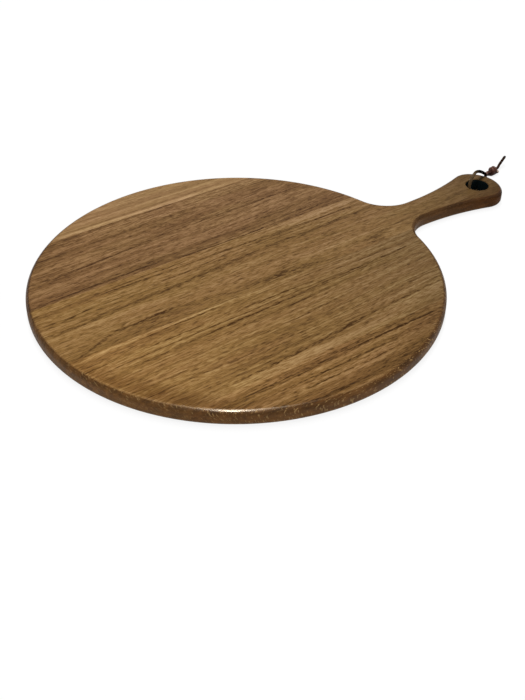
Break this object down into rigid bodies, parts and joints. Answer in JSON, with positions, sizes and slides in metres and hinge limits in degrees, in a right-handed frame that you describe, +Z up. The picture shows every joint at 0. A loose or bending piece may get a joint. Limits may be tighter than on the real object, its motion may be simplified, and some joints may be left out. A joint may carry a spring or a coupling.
{
  "type": "serving board",
  "caption": "Round serving board of glued oak planks with rounded edges, a paddle handle sawn from the middle plank, a hanging hole and a knotted leather cord through it.",
  "frame": {"origin": "centre of the round disc, on the flat underside that the board lies on", "axes": "+X along the grain and the handle, out through the hanging hole; +Y to the rear across the planks; +Z up out of the serving face"},
  "size_m": [0.605, 0.4, 0.03],
  "materials": {
    "oak_tan": "oiled, satin",
    "oak_grey_brown": "oiled, satin",
    "oak_brown": "oiled, satin",
    "oak_golden": "oiled, satin",
    "oak_dark": "oiled, satin",
    "leather": "dyed round thong, waxed"
  },
  "bodies": {
    "root": {"rear_edge_stave": "oak_tan", "rear_stave": "oak_grey_brown", "handle_stave": "oak_brown", "front_stave": "oak_golden", "front_edge_stave": "oak_dark", "leather_cord": "leather"}
  },
  "joints": []
}
